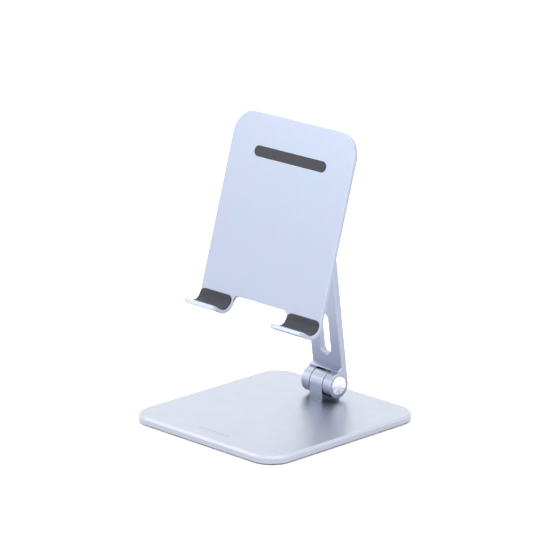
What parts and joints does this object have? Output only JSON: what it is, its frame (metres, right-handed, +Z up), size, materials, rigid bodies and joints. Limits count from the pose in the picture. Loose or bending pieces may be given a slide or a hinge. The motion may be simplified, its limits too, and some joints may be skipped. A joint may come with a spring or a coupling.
{
  "type": "tablet stand",
  "caption": "Folding desk stand for a tablet: square base plate, slotted arm on a friction hinge, and a thin tray with padded hooks on a second friction hinge.",
  "frame": {"origin": "on the desk, under the centre of the base plate's footprint", "axes": "+Z up, +X to the right and along both axles, +Y to the back; the tray faces -Y"},
  "size_m": [0.145, 0.15, 0.2149],
  "materials": {
    "anodised": "fine bead-blasted silver-blue anodising, satin",
    "spun_aluminium": "bright turned face with circular grain",
    "steel": "zinc plated, satin",
    "bronze": "oil-filled sintered bronze, matt",
    "washer": "matt low-friction plastic",
    "rubber_pad": "matt dark grey rubber",
    "silicone": "matt grey silicone"
  },
  "bodies": {
    "base": {"base_plate": "anodised", "foot_front_left": "silicone", "foot_front_right": "silicone", "foot_rear_left": "silicone", "foot_rear_right": "silicone", "base_knuckle": "anodised", "base_knuckle_bush": "bronze", "base_knuckle_screws": "steel"},
    "arm": {"arm": "anodised", "lower_hinge_bolt": "steel", "lower_friction_washers": "washer", "lower_disc_springs": "steel", "lower_lock_nut": "steel", "lower_cap_left": "spun_aluminium", "lower_cap_right": "spun_aluminium", "upper_hinge_bolt": "steel", "upper_friction_washers": "washer", "upper_disc_springs": "steel", "upper_lock_nut": "steel", "upper_cap_left": "spun_aluminium", "upper_cap_right": "spun_aluminium"},
    "tray": {"tray": "anodised", "tray_strip": "rubber_pad", "hook_pad_left": "rubber_pad", "hook_pad_right": "rubber_pad", "tray_knuckle": "anodised", "tray_knuckle_bush": "bronze", "tray_knuckle_screws": "steel"}
  },
  "joints": [
    {"name": "base_hinge", "type": "hinge", "parent": "base", "child": "arm", "pos_m": [0, 0.05005, 0.01735], "axis": [1, 0, 0], "range_deg": [-80, 40]},
    {"name": "tray_hinge", "type": "hinge", "parent": "arm", "child": "tray", "pos_m": [0, 0.02818, 0.18503], "axis": [1, 0, 0], "range_deg": [-150, 30]}
  ]
}
